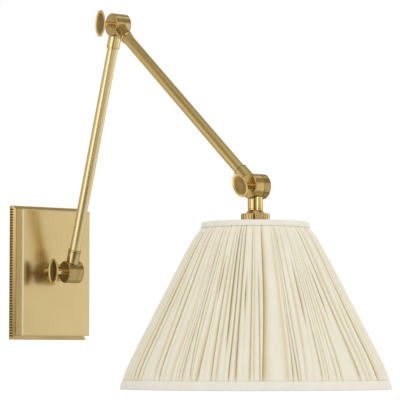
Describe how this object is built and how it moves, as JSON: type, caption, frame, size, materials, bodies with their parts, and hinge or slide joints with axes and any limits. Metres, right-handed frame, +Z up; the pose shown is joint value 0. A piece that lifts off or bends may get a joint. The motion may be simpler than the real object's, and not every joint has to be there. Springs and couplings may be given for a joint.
{
  "type": "double-arm wall sconce",
  "caption": "Brass wall sconce with a reeded rectangular plate, jointed tube arms clamped by oval thumb paddles, and a gathered cloth shade that tilts.",
  "frame": {"origin": "centre of the wall plate's back face, midway between the two wall box screw slots", "axes": "+X right along the wall as seen from the room, +Y into the wall, +Z up; the arms reach out along -Y"},
  "size_m": [0.2884, 0.5768, 0.4422],
  "materials": {
    "satin_brass": "satin",
    "bright_brass": "polished",
    "zinc_steel": "satin",
    "green_screw": "satin",
    "nickel": "polished",
    "fibre": "matte",
    "moulding": "matte",
    "lead_cover": "satin",
    "white_wire": "gloss",
    "gathered_cloth": "matte",
    "tape": "matte",
    "lining_cloth": "matte",
    "frosted_glass": "satin"
  },
  "bodies": {
    "wall_plate": {"wall_frame": "satin_brass", "wall_cover": "satin_brass", "cover_screws": "zinc_steel", "mounting_bar": "zinc_steel", "side_screws": "zinc_steel", "ground_screw": "green_screw", "post_collar": "satin_brass", "post_knuckle": "satin_brass", "post_nipple": "zinc_steel", "post_washer": "zinc_steel", "post_nut": "zinc_steel", "terminal_block": "moulding", "terminal_screws": "zinc_steel", "post_leads": "lead_cover", "shoulder_washer": "fibre"},
    "lower_arm": {"lower_foot_knuckle": "satin_brass", "lower_tube": "satin_brass", "lower_leads": "lead_cover", "lower_head_knuckle": "satin_brass"},
    "upper_arm": {"upper_foot_knuckle": "satin_brass", "upper_tube": "satin_brass", "upper_leads": "lead_cover", "upper_head_knuckle": "satin_brass", "elbow_washer": "fibre", "tilt_washer": "fibre"},
    "shade_head": {"neck_knuckle": "satin_brass", "neck_ring": "bright_brass", "neck_nipple": "zinc_steel", "neck_leads": "lead_cover", "shade_ring_nut": "bright_brass", "shade_spider": "white_wire", "spider_nut": "zinc_steel", "socket_cap": "satin_brass", "socket_shell": "satin_brass", "socket_sleeve": "fibre", "socket_core": "moulding", "socket_screw_shell": "nickel", "socket_contact": "nickel", "bulb_contact": "nickel", "bulb_cap": "nickel", "bulb_glass": "frosted_glass", "shade_cloth": "gathered_cloth", "shade_lining": "lining_cloth", "shade_ribs": "white_wire", "shade_bottom_ring": "white_wire", "shade_top_band": "tape", "shade_bottom_band": "tape"},
    "shoulder_knob": {"shoulder_screw": "satin_brass", "shoulder_paddle": "satin_brass"},
    "elbow_knob": {"elbow_screw": "satin_brass", "elbow_paddle": "satin_brass"},
    "tilt_knob": {"tilt_screw": "satin_brass", "tilt_paddle": "satin_brass"}
  },
  "joints": [
    {"name": "shoulder_swing", "type": "hinge", "parent": "wall_plate", "child": "lower_arm", "pos_m": [0, -0.0554, 0], "axis": [1, 0, 0], "range_deg": [-25, 75]},
    {"name": "elbow_swing", "type": "hinge", "parent": "lower_arm", "child": "upper_arm", "pos_m": [0, -0.15838, 0.28921], "axis": [-1, 0, 0], "range_deg": [-3, 125]},
    {"name": "shade_tilt", "type": "hinge", "parent": "upper_arm", "child": "shade_head", "pos_m": [0, -0.43265, 0.07876], "axis": [1, 0, 0], "range_deg": [-90, 55]},
    {"name": "shoulder_paddle_turn", "type": "hinge", "parent": "lower_arm", "child": "shoulder_knob", "pos_m": [0, -0.0554, 0], "axis": [-1, 0, 0], "range_deg": [-30, 330]},
    {"name": "elbow_paddle_turn", "type": "hinge", "parent": "lower_arm", "child": "elbow_knob", "pos_m": [0, -0.15838, 0.28921], "axis": [-1, 0, 0], "range_deg": [-30, 330]},
    {"name": "tilt_paddle_turn", "type": "hinge", "parent": "shade_head", "child": "tilt_knob", "pos_m": [0, -0.43265, 0.07876], "axis": [-1, 0, 0], "range_deg": [-30, 330]}
  ]
}
